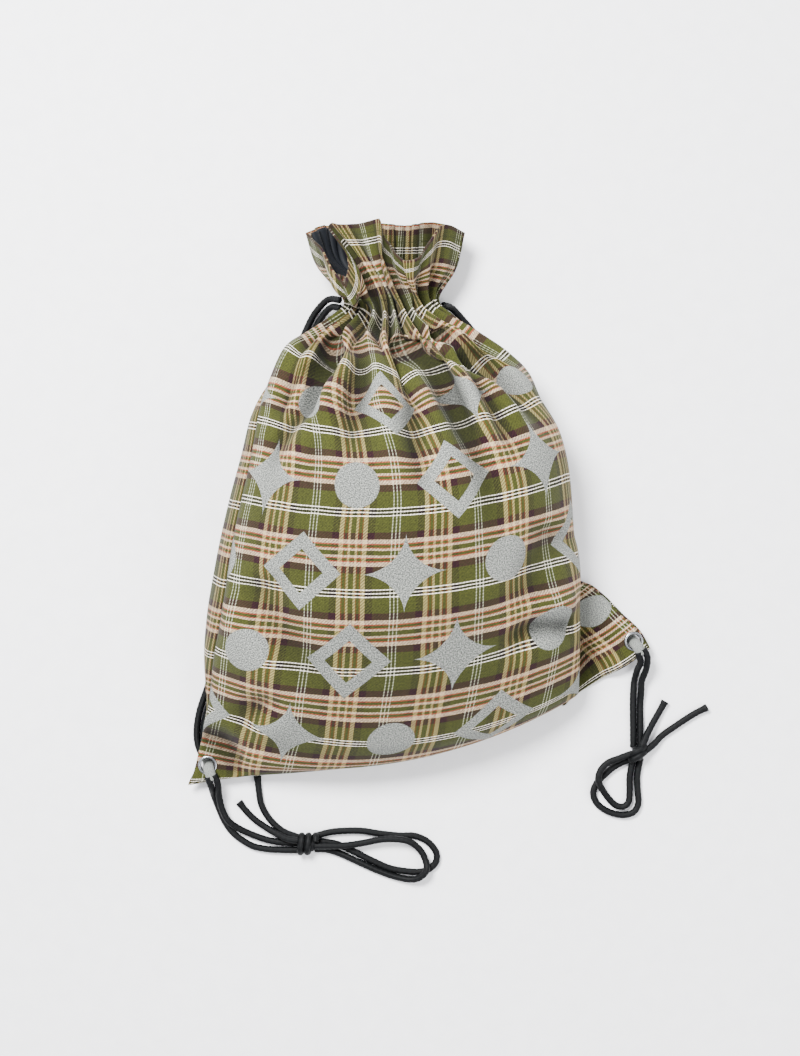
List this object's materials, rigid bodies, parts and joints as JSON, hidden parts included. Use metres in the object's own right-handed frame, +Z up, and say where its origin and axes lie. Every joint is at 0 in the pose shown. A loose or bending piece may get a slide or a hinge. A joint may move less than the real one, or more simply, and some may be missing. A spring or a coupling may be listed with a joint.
{
  "type": "drawstring gym bag",
  "caption": "Drawstring gym bag of checked flannel, filled softly, drawn shut and lying on its back, with doubled cord straps knotted at both bottom corners.",
  "frame": {"origin": "on the surface the bag lies on, under the middle of its belly", "axes": "+Z up from the surface, +Y towards the drawn mouth, +X to the right seen from above"},
  "size_m": [0.3816, 0.483, 0.12],
  "materials": {
    "flannel": "brushed checked cotton, soft and matt",
    "lining": "plain dark cotton, matt",
    "cord": "braided cord, slight sheen",
    "felt": "felted knit, matt",
    "eyelet": "bright pressed metal"
  },
  "bodies": {
    "root": {"front_panel": "flannel", "back_panel": "flannel", "mouth_lining": "lining", "eyelet_left": "eyelet", "eyelet_right": "eyelet", "sleeve_left": "felt", "sleeve_right": "felt", "strap_left_a": "cord", "strap_left_b": "cord", "strap_right_a": "cord", "strap_right_b": "cord", "lead_left_a": "cord", "lead_left_b": "cord", "lead_right_a": "cord", "lead_right_b": "cord", "knot_left": "cord", "knot_right": "cord", "loop_left_1": "cord", "loop_left_2": "cord", "loop_right_1": "cord", "loop_right_2": "cord", "tail_left_1": "cord", "tail_left_2": "cord", "tail_right_1": "cord", "tail_right_2": "cord"}
  },
  "joints": []
}
